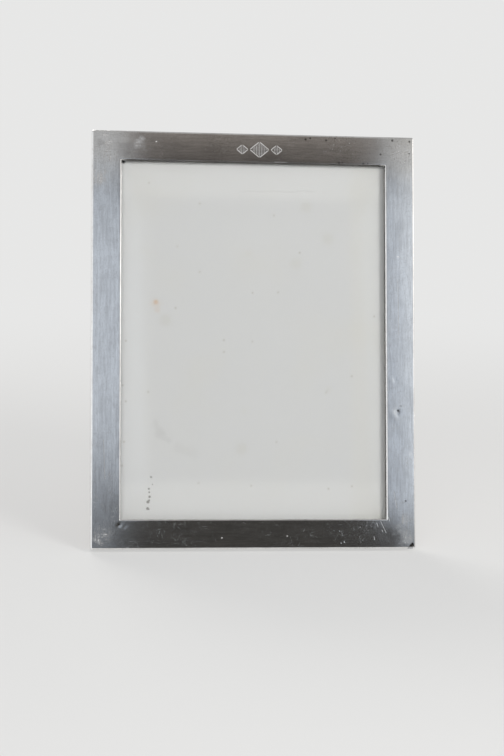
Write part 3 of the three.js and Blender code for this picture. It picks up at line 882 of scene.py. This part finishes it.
def seen_straight(tone):
    """1 for rays that come from the camera, a mirror or a pane, and 0 for those that carry light."""
    seen = tone.node("ShaderNodeLightPath", out="Is Camera Ray")
    seen = seen.most(tone.node("ShaderNodeLightPath", out="Is Glossy Ray"))
    return seen.most(tone.node("ShaderNodeLightPath", out="Is Transmission Ray"))


def on_stage(name, corners, faces, finish):
    mesh = bpy.data.meshes.new(name)
    mesh.from_pydata(corners, [], faces)
    mesh.materials.append(finish)
    stand = bpy.data.objects.new(name, mesh)
    bpy.context.scene.collection.objects.link(stand)
    return stand


table_finish, table = new_finish("pale_table")
on_table = table.node("ShaderNodeNewGeometry", out="Position")
away = on_table.node("ShaderNodeVectorMath", {"operation": "LENGTH"}, {0: on_table}, "Value")
top = table.node("ShaderNodeBsdfDiffuse", {}, {"Color": TABLE_PALE})
glow = table.node("ShaderNodeEmission", {}, {"Color": STUDIO_PALE, "Strength": 1.0})
glowing = seen_straight(table) * (table_glow + (1 - table_glow) * away.rise(glow_near, glow_far))
table.node("ShaderNodeOutputMaterial", {}, {
    "Surface": table.node("ShaderNodeMixShader", {}, {0: glowing, 1: top, 2: glow}),
})
r = table_reach
on_stage("table_top", [(-r, -r, 0), (r, -r, 0), (r, r, 0), (-r, r, 0)], [(0, 1, 2, 3)], table_finish)

GLOW_LEFT = (0.54, 0.59, 0.66, 1)
GLOW_RIGHT = (0.46, 0.51, 0.585, 1)
GLOW_COOL = (0.83, 0.885, 0.945, 1)
GLOW_BRIGHT = (0.95, 0.97, 0.99, 1)
GLOW_LIT = (1.9, 1.87, 1.82, 1)
GLOW_LIT_SEEN = (0.86, 0.865, 0.87, 1)
GAP_LOW = (0.052, 0.050, 0.047, 1)
GAP_MIDDLE = (0.10, 0.10, 0.10, 1)
GAP_TOP = (0.032, 0.029, 0.027, 1)
GAP_HIGH = (0.30, 0.272, 0.25, 1)
board_front = -1.25
board_back = 0.55
board_left = -1.35
board_right = 1.55
board_height = 1.1
gap_left_at = 0.013
gap_right_at = 0.354
gap_blur = 0.008
lit_end_from = 0.42
lit_end_full = 0.60

# The board's glow is painted light. It is pale at the sides, brightest at the right end and dark in the gap. It
# paints the reflections that the silver and glass show, and it lights the scene as well.
glow_board_finish, board_glow = new_finish("glowing_grey_board")
on_wall = board_glow.node("ShaderNodeNewGeometry", out="Position")
wall_x, wall_y, wall_z = on_wall.axes()
gap_left = gap_left_at + 0.034 * wall_z.rise(0.30, 0.36) - 0.016 * wall_z.rise(0.69, 0.75)
gap_right = gap_right_at - 0.036 * wall_z.rise(0.290, 0.330) + 0.028 * wall_z.rise(0.68, 0.75)
in_gap = (wall_x - gap_left).rise(-gap_blur, gap_blur) * (gap_right - wall_x).rise(-gap_blur, gap_blur)
in_gap = in_gap * wall_y.rise(-1.1, -1.2)
gap_tone = wall_z.rise(0.735, 0.84).mix(wall_z.rise(0.40, 0.70).mix(GAP_LOW, GAP_TOP), GAP_HIGH)
gap_tone = (wall_z.rise(0.335, 0.375) * wall_z.rise(0.72, 0.66)).mix(gap_tone, GAP_MIDDLE)
right_tone = wall_x.rise(0.345, 0.40).mix(GLOW_RIGHT, GLOW_COOL)
mirrored = board_glow.node("ShaderNodeLightPath", out="Is Glossy Ray")
mirrored = mirrored.most(board_glow.node("ShaderNodeLightPath", out="Is Camera Ray"))
# Mirrors see the lit right end paler than it is, so that the silver doesn't clip from that side. The wing
# behind the bend stays bright for them.
lit_end = (mirrored * wall_y.rise(-0.9, -1.2)).mix(GLOW_LIT, GLOW_LIT_SEEN)
right_tone = wall_x.rise(lit_end_from, lit_end_full).mix(right_tone, lit_end)
on_right = wall_x.rise(0.1, 0.2)
far_left = seen_straight(board_glow) * wall_x.rise(-0.03, -0.14)
sides = on_right.mix(far_left.mix(GLOW_LEFT, GLOW_BRIGHT), right_tone)
lit_left = 0.29 + 0.71 * wall_z.rise(0.27, 0.46).most(far_left)
lit_right = (0.38 + 0.62 * wall_z.rise(0.27, 0.345)) * (1 - 0.20 * wall_z.rise(0.73, 0.80))
lit_height = (lit_left + on_right * (lit_right - lit_left)) * (1 - 0.25 * wall_z.rise(0.62, 0.78))
lit_height = lit_height * (0.80 + 0.40 * on_wall.cloud(45.0, 3.0, 0.6))
warm_top = wall_z.rise(0.735, 0.775) * wall_x.rise(-0.25, -0.10) * wall_x.rise(0.60, 0.45)
board_tone = in_gap.mix(
    board_glow.node("ShaderNodeMix", {"data_type": "RGBA", "blend_type": "MULTIPLY"}, {
        0: 1.0,
        6: sides,
        7: board_glow.node("ShaderNodeCombineColor", {}, {
            "Red": lit_height * (1 + 0.11 * warm_top),
            "Green": lit_height * (1 + 0.03 * warm_top),
            "Blue": lit_height * (1 - 0.07 * warm_top),
        }),
    }, 2),
    gap_tone,
)
board_glow.node("ShaderNodeOutputMaterial", {}, {
    "Surface": board_glow.node("ShaderNodeEmission", {}, {"Color": board_tone, "Strength": 1.0}),
})
bends = [
    (board_left, board_back), (board_left, board_front),
    (board_right, board_front), (board_right, board_back),
]
glow_board = on_stage(
    "glowing_grey_board",
    [(x, y, z) for x, y in bends for z in (0.0, board_height)],
    [(2 * i, 2 * i + 2, 2 * i + 3, 2 * i + 1) for i in range(3)],
    glow_board_finish,
)
glow_board.visible_camera = False

studio = bpy.data.worlds.new("studio")
studio.use_nodes = True
studio.node_tree.nodes.clear()
air = Tone(studio.node_tree)
overhead = air.node("ShaderNodeTexCoord", out="Generated").axes()[2].rise(0.15, 0.75)
seen_air = overhead.mix(STUDIO_PALE, STUDIO_CEILING)
background = air.node("ShaderNodeBackground", {}, {"Color": seen_straight(air).mix(ROOM_LIGHT, seen_air)})
air.node("ShaderNodeOutputWorld", {}, {"Surface": background})
bpy.context.scene.world = studio


def soft_lamp(name, place, aim, wide, high, watts, colour):
    light = bpy.data.lights.new(name, "AREA")
    light.shape = "RECTANGLE"
    light.size = wide
    light.size_y = high
    light.energy = watts
    light.color = colour
    lamp = bpy.data.objects.new(name, light)
    bpy.context.scene.collection.objects.link(lamp)
    lamp.location = place
    lamp.rotation_euler = (Vector(aim) - Vector(place)).to_track_quat("-Z", "Y").to_euler()
    lamp.visible_camera = False
    return lamp


face_middle = lean @ Vector((0, 0, face_height / 2))
front_lamps = {
    "right_lamp": ((0.61, -1.04, 0.62), 0.40, 7.7),
    "left_lamp": ((-0.32, -1.12, 0.60), 0.50, 3.2),
}
for name, (place, wide, watts) in front_lamps.items():
    lamp = soft_lamp(name, place, face_middle, wide, wide, watts, (1.0, 0.99, 0.98))
    lamp.visible_glossy = False
    lamp.visible_transmission = False
soft_lamp("back_lamp", (-0.5, 1.3, 1.2), face_middle, 0.9, 0.9, 14.0, (1.0, 0.98, 0.95))

# Camera. A long lens a little over a metre away, left of the frame and below the line that stands square
# to the middle of its leaning face.
eye_across = -151.3 * MM
eye_before = 1088.1 * MM
eye_below_middle = 89.5 * MM
lens_mm = 95.24
turned_right = 7.839
tipped_up = 3.57
rolled = 0.048
lens = bpy.data.cameras.new("photo_camera")
lens.lens = lens_mm
lens.clip_start = 0.05
lens.clip_end = 60.0
camera = bpy.data.objects.new("photo_camera", lens)
bpy.context.scene.collection.objects.link(camera)
camera.matrix_world = (
    lean
    @ Matrix.Translation((eye_across, -eye_before, face_height / 2 - eye_below_middle))
    @ Matrix.Rotation(math.radians(-turned_right), 4, "Z")
    @ Matrix.Rotation(math.radians(90 + tipped_up), 4, "X")
    @ Matrix.Rotation(math.radians(-rolled), 4, "Z")
)
bpy.context.scene.camera = camera
bpy.context.scene.view_settings.view_transform = "Standard"
